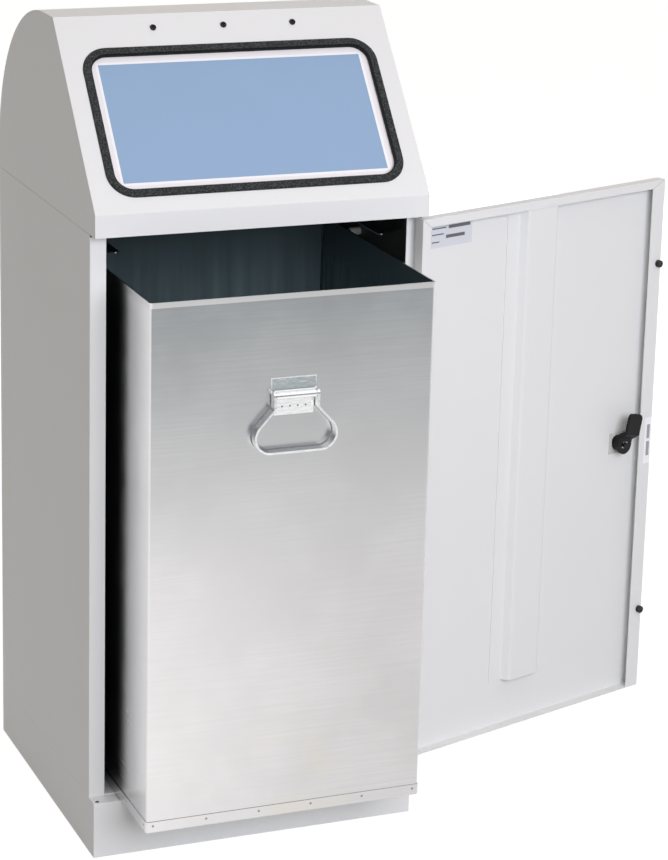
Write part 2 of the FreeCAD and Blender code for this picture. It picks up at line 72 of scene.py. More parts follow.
# Steps of a rounded edge, of a full circle and of a bend of the drop handle.
EDGE_STEPS = 3
ROUND_STEPS = 20
BEND_STEPS = 6

# Even shading follows the largest faces alone. A face whose normal's Y is below this looks to the front.
LARGE_FACE_WEIGHT = 100
FRONT_NORMAL = -0.9

# Faces larger than this, in square metres, can take painted shade inside the cabinet and the bin. Thin cut edges
# are smaller.
BROAD_FACE = 0.002

# Faces smaller than this, in square metres, are the walls of a small hole, which take painted shade.
HOLE_FACE = 0.000005

# Half section of a round pressed mark, as shares of its radius and height: a dished middle and a raised rim.
MARK_SECTION = ((0.0, 0.1), (0.45, 0.2), (0.68, 1.0), (0.88, 0.8), (1.0, -0.5), (0.0, -0.5))

# Spot welds along each side of the bin's tray, and pressed marks on the handle's plate.
WELD_COUNT = 6
STAMP_COUNT = 4

# Heights of the edge sticker's windows, from foot to top, as shares of the sticker.
WINDOW_SHARES = ((0.17, 0.48), (0.545, 0.845))

# Plain bars on the paper sticker: start and end from the hinge side, foot and top, as shares of the sticker.
BAR_SHARES = (
    (0.02, 0.36, 0.8, 0.85),
    (0.42, 0.95, 0.76, 0.9),
    (0.02, 0.3, 0.54, 0.59),
    (0.36, 0.82, 0.36, 0.5),
    (0.02, 0.2, 0.22, 0.27),
)

# Outer line of one side of the drop handle below its pivot, in metres: across, down and each bend's run.
LOOP_BENDS = ((0.0271, 0, 0), (0.0271, 0.0145, 0.002), (0.0514, 0.041, 0.0102), (0.0455, 0.066, 0.0152))

# Heights in metres between which stains leave the bin's outside, and the hood's shade falls on its inside.
STAIN_HEIGHTS = (0.08, 0.22)
SHADE_HEIGHTS = (0.58, 0.69)

# The floor as metal mirrors it, in metres ahead of the cabinet: where one tone passes into the next.
BACK_FADE = (0.1, 0.5)
NEAR_FADE = (1.1, 1.9)
FAR_FADE = (1.1, 3.05)

# Tones to the left and right part along a slanted line, which moves aside by this much in each metre ahead.
SIDE_SLANT = 0.4
SIDE_FADE = (-0.33, 0.02)

# The room as metal mirrors it, as parts of a unit direction: from front to back, and from the walls up.
ROOM_FADE = (-0.6, 0.4)
CEILING_FADE = (0.15, 0.7)

WHITE = (1.0, 1.0, 1.0)
LAMP_HEIGHT_SHARE = 0.7

# The photograph's frame in pixels, and the film width that Blender fits to the longer side.
PHOTO_WIDTH = 668
PHOTO_HEIGHT = 860
FILM = 36.0


def colour(name, description, default):
    """Colour property with a swatch."""
    return FloatVectorProperty(
        name=name, description=description, subtype="COLOR", size=3, min=0, max=1, default=default
    )


def length(name, description, default):
    """Length property in metres."""
    return FloatProperty(name=name, description=description, unit="LENGTH", precision=5, default=default)


def angle(name, description, degrees):
    """Angle property, given in degrees."""
    return FloatProperty(name=name, description=description, subtype="ANGLE", default=math.radians(degrees))


def amount(name, description, default, subtype="NONE"):
    """Plain number property."""
    return FloatProperty(name=name, description=description, subtype=subtype, default=default)


def location(name, description, default):
    """Place on a face in metres, across and up."""
    return FloatVectorProperty(
        name=name, description=description, unit="LENGTH", size=2, precision=5, default=default
    )


class CabinetColours(bpy.types.PropertyGroup):
    """Colours of the cabinet's finishes"""

    coat: colour("Powder coat", "Light grey coat of the plinth, body, hood and door", (0.79, 0.797, 0.79))
    # Painted shade: near black tone of the faces marked as inside in the plinth, body, floor and hood.
    inside_shade: colour("Lining", "Unlit inside of the body and the hood", (0.10, 0.115, 0.11))
    flap: colour("Flap", "White coat of the feed flap", (0.86, 0.835, 0.85))
    label: colour("Label", "Pale blue sheet on the flap", (0.285, 0.415, 0.6))
    border: colour("Label border", "White edge round the blue sheet", (0.93, 0.93, 0.94))
    rubber: colour("Rubber", "Edge trim and door buffers", (0.03, 0.033, 0.033))
    zinc_sheet: colour("Galvanised sheet", "Inner bin", (0.622, 0.617, 0.623))
    zinc_plate: colour("Zinc plate", "Handle, flap hinge, straps and tabs", (0.88, 0.885, 0.89))
    screw: colour("Screws", "Blackened socket screws", (0.03, 0.03, 0.032))
    nylon: colour("Nylon", "Studs and bushes", (0.82, 0.81, 0.78))
    lock: colour("Lock", "Plated lock barrel and core", (0.70, 0.70, 0.72))
    clip: colour("Lock clip", "Dull plate that holds the lock", (0.58, 0.565, 0.53))
    cam: colour("Cam", "Black lock cam", (0.008, 0.008, 0.009))
    paper: colour("Paper", "Paper sticker on the door", (0.68, 0.70, 0.74))
    windows: colour("Sticker windows", "Plain grey windows on the edge sticker", (0.36, 0.36, 0.4))
    bars: colour("Sticker bars", "Plain dark bars on the paper sticker", (0.13, 0.13, 0.14))
    weld: colour("Welds", "Burnt zinc at the spot welds", (0.36, 0.355, 0.35))
    stain: colour("Stain", "Warm stains low on the bin", (0.66, 0.61, 0.51))
    # Painted shade: dark bluish tone of the zinc inside the bin.
    well_shade: colour("Bin inside", "Bluish zinc in the shade of the hood", (0.23, 0.32, 0.345))


class CabinetSizes(bpy.types.PropertyGroup):
    """Sizes of what is added to the frame"""

    sheet: length("Sheet", "Thickness of the cabinet's sheet metal", 0.0012)
    fold: length("Fold radius", "Rounding of the sheet's outer edges", 0.0008)
    wall_fold: length("Wall fold", "Rounding of the side walls' outer edges", 0.0004)
    cut: length("Cut edge", "Rounding of the sheet's cut edges", 0.0002)
    floor_fade: length("Floor fade", "Depth over which the floor's lining sets in", 0.05)
    rim: length("Rim", "Rounding of the bin's rim and of its tray's foot", 0.0015)
    hem_height: length("Hem height", "Height of the hem round the bin's rim", 0.0065)
    hem_lean: length("Hem lean", "How far the hem's lower edge is drawn in", 0.0006)
    rubber_edge: length("Rubber edge", "Rounding of the trim and the buffers", 0.0007)
    small_edge: length("Fitting edge", "Rounding of small fittings", 0.0004)
    border: length("Label border", "Width of the white edge round the blue sheet", 0.003)
    film: length("Film", "Thickness of the border and the stickers", 0.0003)
    ink: length("Ink", "Thickness of the bars and windows on the stickers", 0.00015)
    weld_radius: length("Spot weld", "Radius of a spot weld's mark", 0.0015)
    mark_height: length("Mark height", "How far the rim of a spot weld or a pressed mark stands out", 0.0003)
    weld_inset: length("Weld inset", "Distance of the end welds from the bin's corners", 0.0085)
    weld_drop: length("Weld drop", "Distance of the welds below the tray's upper edge", 0.005)
    plate: length("Handle plate", "Thickness of the handle's plate", 0.0015)
    plate_edge: length("Plate edge", "Rounding of the handle's plate", 0.0006)
    plate_lean_up: length("Lean above", "How far the plate's upper edge leans back", 0.0012)
    plate_lean_down: length("Lean below", "How far the plate stands out where it leaves its bead", 0.0005)
    plate_rim: length("Plate rim", "Width of the raised rim round the plate's upper part", 0.0018)
    plate_press: length("Plate press", "Depth of the pressed field inside that rim", 0.0003)
    stamp_span: length("Stamp span", "Width of the row of pressed marks on the plate", 0.028)
    stamp_radius: length("Stamp radius", "Radius of a pressed mark on the plate", 0.0012)
    loop_width: length("Loop width", "Width of the drop handle's strap", 0.01)
    loop_thickness: length("Loop thickness", "Thickness of the drop handle's strap", 0.0026)
    loop_edge: length("Loop edge", "Rounding of the drop handle's strap", 0.00125)
    pin_radius: length("Pin radius", "Radius of the drop handle's pins", 0.003)
    pin_length: length("Pin length", "Length of the drop handle's pins", 0.016)
    crank_root: length("Crank root", "Distance from the cam's pivot beyond which its crank starts", 0.0125)
    crank_end: length("Crank end", "Distance from the cam's pivot at which its crank has ended", 0.02)
    crank_low: length("Crank low", "How far the crank's foot is drawn towards the pivot", 0.005)
    crank_high: length("Crank high", "How far the crank's head is pushed towards the tip", 0.002)
    crank_middle: length("Crank middle", "Height that parts the crank's foot from its head", 0.006)
    sticker_low: location("Sticker low", "Lower left corner of the paper sticker, door shut", (0.111, 0.7))
    sticker_high: location("Sticker high", "Upper right corner of the paper sticker", (0.175, 0.728))
    edge_low: location("Edge sticker low", "Lower left corner of the sticker on the lip", (-0.1986, 0.3735))
    edge_high: location("Edge sticker high", "Upper right corner of the sticker on the lip", (-0.1875, 0.434))
    window_inset: length("Window inset", "Distance of the windows from the lip's outer edge", 0.0024)
    window_width: length("Window width", "Width of the grey windows on the edge sticker", 0.0051)


class CabinetStage(bpy.types.PropertyGroup):
    """Camera and lamps"""

    aim_height: length("Aim height", "Height of the point that the camera circles", 0.48)
    azimuth: angle("Azimuth", "How far the camera stands to the left of the front", 21.95)
    elevation: angle("Elevation", "How far the camera looks down", 15.545)
    roll: angle("Roll", "Tilt of the picture", 1.419)
    distance: length("Distance", "Distance from the aim to the camera", 3.43729)
    slide_right: length("Slide right", "Camera's offset to its right", 0.14337)
    slide_up: length("Slide up", "Camera's offset upwards", 0.07615)
    focal_pixels: amount("Focal length", "Focal length in the photograph's pixels", 2841.7, "PIXEL")
    centre_x: amount("Centre across", "Optical centre from the left edge", 323.4, "PIXEL")
    centre_y: amount("Centre down", "Optical centre from the top edge", 340.0, "PIXEL")
    key_power: amount("Key power", "Power of the soft lamp in front", 84.5, "POWER")
    key_size: length("Key size", "Width of the soft lamps in front and behind", 2.2)
    key_distance: length("Key distance", "Distance of all lamps", 3.4)
    key_height: angle("Key height", "Height of the soft lamp above the horizon", 20)
    key_side: angle("Key side", "How far the soft lamp stands to the right", 4)
    flash_power: amount("Flash power", "Power of the lamp beside the camera", 3.5, "POWER")
    flash_size: length("Flash size", "Width of the lamp beside the camera", 0.8)
    back_power: amount("Back power", "Power of the soft lamp behind", 72.0, "POWER")
    back_height: angle("Back height", "Height of the soft lamp behind above the horizon", 4)
    back_side: angle("Back side", "How far the soft lamp behind stands round to the right", 152)
    lamp_tint: colour("Lamp tint", "Cool tint of all lamps", (0.91, 0.92, 1.0))
    ambient: amount("Ambient", "Strength of the light from all round", 0.67)
    sky_low: colour("Sky low", "Light from all round at the horizon", (0.02, 0.02, 0.02))
    sky_high: colour("Sky high", "Light from all round overhead", (1.0, 0.91, 0.825))
    sky_shine: amount("Sky shine", "Strength of the surroundings in reflections", 1.35)
    room_front: colour("Room in front", "Mirrored tone of the room in front", (0.22, 0.24, 0.255))
    room_back: colour("Room behind", "Mirrored tone of the room behind", (0.66, 0.66, 0.66))
    floor_tone: colour("Floor", "Colour of the lit floor", (0.42, 0.42, 0.41))
    floor_shadow: amount("Floor shadow", "Share of the lit floor that the camera sees", 0.4, "FACTOR")
    floor_shine: amount("Floor shine", "Strength of the floor in reflections", 1.44)
    shine_left: colour("Shine left", "Mirrored tone of the near floor to the left", (1.0, 0.985, 0.975))
    shine_right: colour("Shine right", "Mirrored tone of the near floor to the right", (0.742, 0.731, 0.723))
    shine_middle: colour("Shine middle", "Mirrored tone of the floor further ahead", (0.833, 0.821, 0.8125))
    shine_far: colour("Shine far", "Mirrored tone of the floor far ahead", (0.267, 0.3, 0.3125))
    shine_behind: colour("Shine behind", "Mirrored tone of the floor behind", (0.817, 0.821, 0.825))
    floor_white: amount("Floor white", "Strength that keeps the lit floor white to the camera", 1.55)
    floor_size: length("Floor size", "Side of the square floor", 40.0)


class Wire:
    """An output socket that takes part in Python sums. Each sum adds a Math node."""

    def __init__(self, tree, socket):
        self.tree = tree
        self.socket = socket

    def _math(self, operation, first, second):
        made = self.tree.nodes.new("ShaderNodeMath")
        made.operation = operation
        join(self.tree, made.inputs[0], first)
        join(self.tree, made.inputs[1], second)
        return Wire(self.tree, made.outputs[0])

    def __add__(self, other):
        return self._math("ADD", self, other)

    def __radd__(self, other):
        return self._math("ADD", other, self)

    def __sub__(self, other):
        return self._math("SUBTRACT", self, other)

    def __rsub__(self, other):
        return self._math("SUBTRACT", other, self)

    def __mul__(self, other):
        return self._math("MULTIPLY", self, other)

    def __rmul__(self, other):
        return self._math("MULTIPLY", other, self)


def join(tree, socket, value):
    """Links a wire to a socket, or sets the socket's own value."""
    if isinstance(value, Wire):
        tree.links.new(value.socket, socket)
    elif hasattr(value, "__len__") and len(value) == 3 and len(socket.default_value) == 4:
        socket.default_value = (*value, 1.0)
    else:
        socket.default_value = value


class Finish:
    """A node tree that is written as expressions, with a Principled shader at its end."""

    def __init__(self, tree):
        self.tree = tree
        self.tree.nodes.clear()

    def node(self, kind, settings=(), sockets=(), output=0):
        """Adds a node: its settings are set first, then its sockets are set or linked."""
        made = self.tree.nodes.new("ShaderNode" + kind)
        for key, value in dict(settings).items():
            setattr(made, key, value)
        for key, value in dict(sockets).items():
            join(self.tree, made.inputs[key], value)
        return Wire(self.tree, made.outputs[output])

    def place(self, stretch=(1, 1, 1)):
        """Object coordinates in metres, stretched."""
        place = self.node("TexCoord", output="Object")
        return self.node("Mapping", {}, {"Vector": place, "Scale": stretch})

    def noise(self, patches, detail, stretch=(1, 1, 1)):
        """Soft noise from 0 to 1, with this many patches in a metre."""
        where = self.place(stretch)
        return self.node("TexNoise", {}, {"Vector": where, "Scale": patches, "Detail": detail}, "Fac")

    def along(self, axis):
        """Distance in metres along one axis of the piece."""
        return self.node("SeparateXYZ", {}, {"Vector": self.place()}, axis)

    def inside(self):
        """1 on the faces that are marked as an inside."""
        return self.node("Attribute", {"attribute_name": "inside"}, {}, "Fac")

    def mirrors(self):
        """1 for rays that come off metal or through glass."""
        glossy = self.node("LightPath", output="Is Glossy Ray")
        return glossy + self.node("LightPath", output="Is Transmission Ray")

    def step(self, value, low, high):
        """Smooth rise from 0 to 1 between two values."""
        sockets = {"Value": value, "From Min": low, "From Max": high}
        return self.node("MapRange", {"interpolation_type": "SMOOTHSTEP"}, sockets)

    def mix(self, factor, first, second):
        """Blend of two colours."""
        return self.node("Mix", {"data_type": "RGBA"}, {0: factor, 6: first, 7: second}, 2)

    def bump(self, height, distance):
        """Surface normal of a height, of which 1 stands out by this distance."""
        return self.node("Bump", {}, {"Height": height, "Distance": distance, "Strength": 1.0})

    def surface(self, **sockets):
        """Principled shader. Words of a socket's name are joined by underlines."""
        named = {key.replace("_", " "): value for key, value in sockets.items()}
        self.end("Material", self.node("BsdfPrincipled", {}, named))

    def end(self, kind, shader):
        """Joins the shader to the tree's output."""
        made = self.tree.nodes.new("ShaderNodeOutput" + kind)
        self.tree.links.new(shader.socket, made.inputs["Surface"])


def shade(tone, factor):
    """A colour made lighter or darker by a plain factor."""
    return tuple(min(1.0, channel * factor) for channel in tone)


def tone_of(name):
    """A colour of the cabinet by its property's name."""
    return tuple(getattr(bpy.context.scene.cabinet_colours, name))


def powder_coat(finish, tone, roughness):
    """Satin powder coat with fine orange peel, faint specks and a slow drift in tone, and painted shade, near
    black, on the faces marked as inside.
    """
    peel = finish.noise(420, detail=2.0)
    specks = finish.noise(1500, detail=1.0)
    drift = finish.noise(4, detail=3.0)
    tint = finish.mix(drift, shade(tone, 0.975), shade(tone, 1.015))
    tint = finish.mix(finish.step(specks, 0.62, 0.8) * 0.12, tint, shade(tone, 0.86))
    # Painted shade: faces marked as inside take a near black tone in place of the coat.
    inside_shade = tone_of("inside_shade")
    dark = finish.mix(drift, shade(inside_shade, 0.9), shade(inside_shade, 1.1))
    finish.surface(
        Base_Color=finish.mix(finish.inside(), tint, dark),
        Roughness=roughness - 0.04 + 0.08 * peel,
        Normal=finish.bump(peel, distance=0.00004),
        Specular_IOR_Level=0.45,
    )


def rubber(finish, tone):
    """Matt rubber with a granular skin, and painted shade, near black, on the walls that look into the opening."""
    grains = finish.noise(560, detail=2.0)
    bloom = finish.noise(60, detail=2.0)
    tint = finish.mix(finish.step(grains, 0.42, 0.68), shade(tone, 0.25), shade(tone, 2.2))
    tint = finish.mix(bloom * 0.25, tint, shade(tone, 1.6))
    finish.surface(
        # Painted shade: faces marked as inside, the walls that look into the opening, turn near black.
        Base_Color=finish.mix(finish.inside(), tint, shade(tone, 0.12)),
        Roughness=0.6 + 0.2 * grains,
        Normal=finish.bump(grains, distance=0.0006),
        Specular_IOR_Level=0.3,
    )


def galvanised(finish, tone, roughness):
    """Galvanised sheet with faint spangle and rolling lines, and painted shade, darker and bluer, inside the bin.
    """
    cells = finish.node("TexVoronoi", {}, {"Vector": finish.place(), "Scale": 60.0}, "Color")
    spangle = finish.node("SeparateColor", {}, {"Color": cells}, "Red")
    lines = finish.noise(1.0, detail=3.0, stretch=(12, 12, 520))
    cloud = finish.step(finish.noise(7, detail=3.0), 0.32, 0.68)
    tint = finish.mix(cloud, shade(tone, 0.94), shade(tone, 1.06))
    tint = finish.mix(spangle * 0.2, tint, shade(tone, 1.08))
    tint = finish.mix(finish.step(lines, 0.3, 0.7) * 0.35, tint, shade(tone, 0.92))
    height = finish.along("Z")
    low = 1.0 - finish.step(height, *STAIN_HEIGHTS)
    stains = finish.step(finish.noise(11, detail=2.0), 0.5, 0.75) * low
    tint = finish.mix(stains * 0.5, tint, tone_of("stain"))
    inside = finish.inside()
    # Painted shade inside the bin: a dark bluish tone with faint streaks, darker still near the rim where the
    # hood's shade falls.
    well_shade = tone_of("well_shade")
    streaks = finish.noise(1.0, detail=2.0, stretch=(60, 60, 3))
    painted_well = finish.mix(finish.step(streaks, 0.3, 0.7), shade(well_shade, 0.8), shade(well_shade, 1.25))
    painted_well = finish.mix(finish.step(height, *SHADE_HEIGHTS), painted_well, shade(well_shade, 0.45))
    finish.surface(
        Base_Color=finish.mix(inside, tint, painted_well),
        Metallic=1.0 - 0.45 * inside,
        Roughness=roughness + 0.02 * spangle + 0.03 * cloud - 0.04 * lines,
        Normal=finish.bump(lines, distance=0.0000007),
    )


def plated(finish, tone, roughness):
    """Zinc or chrome plate with fine polishing lines and soft smears."""
    lines = finish.noise(1.0, detail=3.0, stretch=(60, 900, 900))
    dents = finish.noise(240, detail=3.0)
    smears = finish.noise(45, detail=3.0)
    finish.surface(
        Base_Color=finish.mix(smears, shade(tone, 0.93), shade(tone, 1.05)),
        Metallic=1.0,
        Roughness=roughness + 0.12 * smears,
        Normal=finish.bump(lines * 0.03 + dents, distance=0.0002),
    )


def moulded(finish, tone, roughness, gloss):
    """Moulded plastic with a fine eroded grain."""
    grain = finish.noise(1100, detail=2.0)
    drift = finish.noise(90, detail=2.0)
    finish.surface(
        Base_Color=finish.mix(drift, shade(tone, 0.92), shade(tone, 1.08)),
        Roughness=roughness + 0.12 * grain,
        Normal=finish.bump(grain, distance=0.00006),
        Specular_IOR_Level=gloss,
    )


def film(finish, tone, roughness):
    """Printed film or paper with faint fibres."""
    fibres = finish.noise(700, detail=3.0, stretch=(1, 1, 0.4))
    drift = finish.noise(14, detail=2.0)
    tint = finish.mix(drift, shade(tone, 0.975), shade(tone, 1.02))
    finish.surface(
        Base_Color=finish.mix(fibres * 0.3, tint, shade(tone, 0.95)),
        Roughness=roughness + 0.1 * fibres,
        Normal=finish.bump(fibres, distance=0.00003),
    )


# Each finish: the function that writes it, the name of its colour, and its roughness and gloss if any.
FINISHES = {
    "body_grey": (powder_coat, "coat", (0.42,)),
    "flap_white": (powder_coat, "flap", (0.38,)),
    "label_blue": (film, "label", (0.5,)),
    "label_border": (film, "border", (0.45,)),
    "trim_black": (rubber, "rubber", ()),
    "galvanised": (galvanised, "zinc_sheet", (0.24,)),
    "plated_steel": (plated, "zinc_plate", (0.1,)),
    "dark_screws": (plated, "screw", (0.35,)),
    "nylon_white": (moulded, "nylon", (0.4, 0.3)),
    "lock_zinc": (plated, "lock", (0.38,)),
    "lock_clip": (moulded, "clip", (0.45, 0.3)),
    "cam_black": (moulded, "cam", (0.42, 0.2)),
    "sticker_paper": (film, "paper", (0.55,)),
    "sticker_bars": (film, "bars", (0.5,)),
    "sticker_window": (film, "windows", (0.5,)),
    "weld_mark": (plated, "weld", (0.45,)),
}


def material(name):
    """The material of that finish, made when it is first asked for."""
    made = bpy.data.materials.get("finish_" + name)
    if made is None:
        write, tone, values = FINISHES[name]
        made = bpy.data.materials.new("finish_" + name)
        made.use_nodes = True
        write(Finish(made.node_tree), tone_of(tone), *values)
    return made


def dress(*nodes):
    """Gives CAD nodes that stay as they are the finish of their slot."""
    for node in nodes:
        mesh = NODES[node].data
        mesh.materials.clear()
        mesh.materials.append(material(SLOT_OF[node]))


def add_piece(name, shape, finish, body, edge=None):
    """Makes a bmesh a piece that rides on a body, flat faced or with its sharp edges rounded."""
    mesh = bpy.data.meshes.new(name)
    shape.to_mesh(mesh)
    shape.free()
    stale = mesh.attributes.get("custom_normal")
    if stale:
        mesh.attributes.remove(stale)
    mesh.materials.clear()
    mesh.materials.append(material(finish))
    piece = bpy.data.objects.new(name, mesh)
    bpy.context.scene.collection.objects.link(piece)
    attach(piece, body)
    if edge:
        round_edges(piece, edge, "ANGLE")
    return piece


def round_edges(piece, width, limit):
    """Rounds a piece's sharp or weighted edges and keeps its broad faces evenly shaded."""
    piece.data.shade_smooth()
    rounding = piece.modifiers.new("rounded edges", "BEVEL")
    rounding.limit_method = limit
    rounding.angle_limit = SHARP_ANGLE
    rounding.width = width
    rounding.segments = EDGE_STEPS
    shading = piece.modifiers.new("even shading", "WEIGHTED_NORMAL")
    shading.weight = LARGE_FACE_WEIGHT


def whole_faces(node):
    """Bmesh of a CAD node with its loose triangles merged and its flat faces whole."""
    shape = bmesh.new()
    shape.from_mesh(NODES[node].data)
    bmesh.ops.remove_doubles(shape, verts=shape.verts, dist=MERGE_DISTANCE)
    bmesh.ops.dissolve_limit(shape, angle_limit=FLAT_ANGLE, verts=shape.verts, edges=shape.edges)
    return shape


def faces_out(edge, middle):
    """True where both faces of an edge look away from the middle."""
    centre = (edge.verts[0].co + edge.verts[1].co) / 2
    return all(face.normal.dot(centre - middle) > 0 for face in edge.link_faces)


def paint_inside_shade(shape, middle, least, hole):
    """Marks where the finish paints shade: larger faces that look at the middle, and the walls of holes."""
    mark = shape.faces.layers.float.new("inside")
    for face in shape.faces:
        looks_in = face.normal.dot(middle - face.calc_center_median()) > 0
        shaded = looks_in and face.calc_area() > least
        face[mark] = 1.0 if shaded or face.calc_area() < hole else 0.0


def soften(node, fold, cut, middle=None, shaded=None, hole=0.0, finish=None, form=None):
    """Replaces a CAD node by a copy with rounded edges: fold for outer edges, cut for the rest.

    The middle tells outer edges from inner ones. Faces that look at the middle and are larger than the given least
    area count as an inside and take painted shade, and so do faces smaller than hole, the walls of holes. Form is
    a function that reshapes the copy.
    """
    shape = whole_faces(node)
    if form:
        form(shape)
        shape.normal_update()
    if shaded is not None:
        paint_inside_shade(shape, middle, shaded, hole)
    weights = shape.edges.layers.float.new("bevel_weight_edge")
    widest = max(fold, cut)
    for edge in shape.edges:
        if edge.is_manifold and edge.calc_face_angle() > SHARP_ANGLE:
            outer = middle is None or faces_out(edge, middle)
            edge[weights] = (fold if outer else cut) / widest
    piece = add_piece(node + "_finished", shape, finish or SLOT_OF[node], BODY_OF[node])
    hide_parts(node)
    round_edges(piece, widest, "WEIGHT")


def slope_place():
    """Frame of the hood's slope: X across, Y up it, Z out of it, with its origin in the slope's face."""
    out = max(NODES["flap_label"].data.polygons, key=lambda face: face.area).normal.copy()
    if out.y > 0:
        out.negate()
    across = Vector((1, 0, 0))
    face = max(NODES["hood_front_panel"].data.vertices, key=lambda point: point.co.dot(out)).co
    turn = Matrix((across, out.cross(across), out)).transposed().to_4x4()
    return Matrix.Translation((0, face.y, face.z)) @ turn


def door_place():
    """Frame of the shut door: X to the right of the front, Y to the back, Z up."""
    hinge = JOINTS["door_hinge"]
    pivot = Vector(hinge["pos_m"])
    turn = Matrix.Rotation(math.radians(-hinge["range_deg"][0]), 4, "Z")
    return Matrix.Translation(pivot) @ turn @ Matrix.Translation(-pivot)


def reach(node, place):
    """Lowest and highest corners of a CAD node in a turned frame."""
    inverse = place.inverted()
    points = [inverse @ point.co for point in NODES[node].data.vertices]
    return Vector([min(values) for values in zip(*points)]), Vector([max(values) for values in zip(*points)])


def thicken(shape, way):
    """Pulls flat faces out into a plate."""
    lifted = bmesh.ops.extrude_face_region(shape, geom=shape.faces[:])["geom"]
    points = [item for item in lifted if isinstance(item, bmesh.types.BMVert)]
    bmesh.ops.translate(shape, vec=way, verts=points)
    bmesh.ops.recalc_face_normals(shape, faces=shape.faces)


def add_slab(shape, low, high):
    """Adds a box between two corners to a bmesh."""
    low, high = Vector(low), Vector(high)
    points = bmesh.ops.create_cube(shape, size=1.0)["verts"]
    bmesh.ops.scale(shape, vec=high - low, verts=points)
    bmesh.ops.translate(shape, vec=(low + high) / 2, verts=points)


def add_mark(shape, place, radius, height):
    """Adds a round pressed mark to a bmesh: its section is spun about the Z axis of a place."""
    known = set(shape.verts)
    points = [shape.verts.new((radius * out, 0, height * up)) for out, up in MARK_SECTION]
    lines = [shape.edges.new(ends) for ends in zip(points, points[1:])]
    bmesh.ops.spin(
        shape,
        geom=points + lines,
        cent=(0, 0, 0),
        axis=(0, 0, 1),
        angle=2 * math.pi,
        steps=ROUND_STEPS,
        use_merge=True,
    )
    made = [point for point in shape.verts if point not in known]
    bmesh.ops.transform(shape, matrix=place, verts=made)
    bmesh.ops.remove_doubles(shape, verts=made, dist=MERGE_DISTANCE)


def facing(point, out):
    """A place at a point whose Z axis looks out of a face."""
    return Matrix.Translation(point) @ Vector(out).to_track_quat("Z", "Y").to_matrix().to_4x4()


class CABINET_OT_body(bpy.types.Operator):
    """Coats the plinth and the body's walls and rounds their edges"""

    bl_idname = "cabinet.body"
    bl_label = "Body"

    def execute(self, context):
        sizes = context.scene.cabinet_sizes
        low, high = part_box("left_side_wall")
        middle = Vector((0, 0, (low.z + high.z) / 2))
        low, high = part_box("base_plinth")
        # Painted shade on the plinth's inside faces and on the walls of its holes.
        soften("base_plinth", sizes.fold, sizes.cut, (low + high) / 2, shaded=BROAD_FACE, hole=HOLE_FACE)
        # Painted shade on the inside faces of the side walls and the back wall.
        for node in ("left_side_wall", "right_side_wall"):
            soften(node, sizes.wall_fold, sizes.cut, middle, shaded=BROAD_FACE)
        soften("back_wall", sizes.cut, sizes.cut, middle, shaded=BROAD_FACE)
        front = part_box("cabinet_floor")[0].y

        def fade_floor_shade(shape):
            """Lets the painted shade on the floor fade out towards the open front, where light falls in."""
            parts = shape.verts[:] + shape.edges[:] + shape.faces[:]
            rear = (0, front + sizes.floor_fade, 0)
            bmesh.ops.bisect_plane(shape, geom=parts, plane_co=rear, plane_no=(0, 1, 0))
            mark = shape.verts.layers.float.new("inside")
            for point in shape.verts:
                point[mark] = min(1.0, (point.co.y - front) / sizes.floor_fade)

        soften("cabinet_floor", sizes.cut, sizes.cut, middle, form=fade_floor_shade)
        soften("rim_tabs", sizes.cut, sizes.cut)
        dress("plinth_bottom", "bin_guides", "wall_studs")
        return {"FINISHED"}


class CABINET_OT_hood(bpy.types.Operator):
    """Coats the hood and rounds its edges"""

    bl_idname = "cabinet.hood"
    bl_label = "Hood"

    def execute(self, context):
        sizes = context.scene.cabinet_sizes
        low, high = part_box("hood_roll_back")
        middle = Vector((0, 0, (low.z + high.z) / 2))
        # Painted shade on the hood's inside faces.
        for node in ("hood_front_panel", "hood_roll_back"):
            soften(node, sizes.fold, sizes.cut, middle, shaded=BROAD_FACE)
        for node in ("hood_left_cheek", "hood_right_cheek"):
            soften(node, sizes.cut, sizes.cut, middle, shaded=BROAD_FACE)
        dress("seam_straps")
        return {"FINISHED"}


class CABINET_OT_opening_trim(bpy.types.Operator):
    """Rounds the rubber trim round the feed opening"""

    bl_idname = "cabinet.opening_trim"
    bl_label = "Opening trim"

    def execute(self, context):
        edge = context.scene.cabinet_sizes.rubber_edge
        low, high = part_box("opening_trim")
        # Marks the trim's walls that look into the opening for painted shade.
        soften("opening_trim", edge, edge, (low + high) / 2, shaded=0.0)
        return {"FINISHED"}


class CABINET_OT_flap(bpy.types.Operator):
    """Finishes the flap, its blue sheet with a white border, and its hinge"""

    bl_idname = "cabinet.flap"
    bl_label = "Flap"

    def execute(self, context):
        sizes = context.scene.cabinet_sizes
        soften("flap_panel", sizes.cut, sizes.cut)
        soften("flap_hinge_screws", sizes.small_edge, sizes.small_edge)
        dress("flap_label", "flap_fixed_leaf", "flap_moving_leaf", "flap_hinge_pin", "flap_spring")
        place = slope_place()
        low, high = reach("flap_label", place)
        shape = bmesh.new()
        low -= Vector((sizes.border, sizes.border, 0))
        high += Vector((sizes.border, sizes.border, 0))
        corners = ((low.x, low.y), (high.x, low.y), (high.x, high.y), (low.x, high.y))
        sheet = shape.faces.new([shape.verts.new((x, y, low.z)) for x, y in corners])
        shape.normal_update()
        bmesh.ops.inset_region(
            shape, faces=[sheet], thickness=sizes.border, use_boundary=True, use_even_offset=True
        )
        bmesh.ops.delete(shape, geom=[sheet], context="FACES")
        thicken(shape, (0, 0, sizes.film))
        shape.transform(place)
        add_piece("label_border", shape, "label_border", "flap")
        return {"FINISHED"}


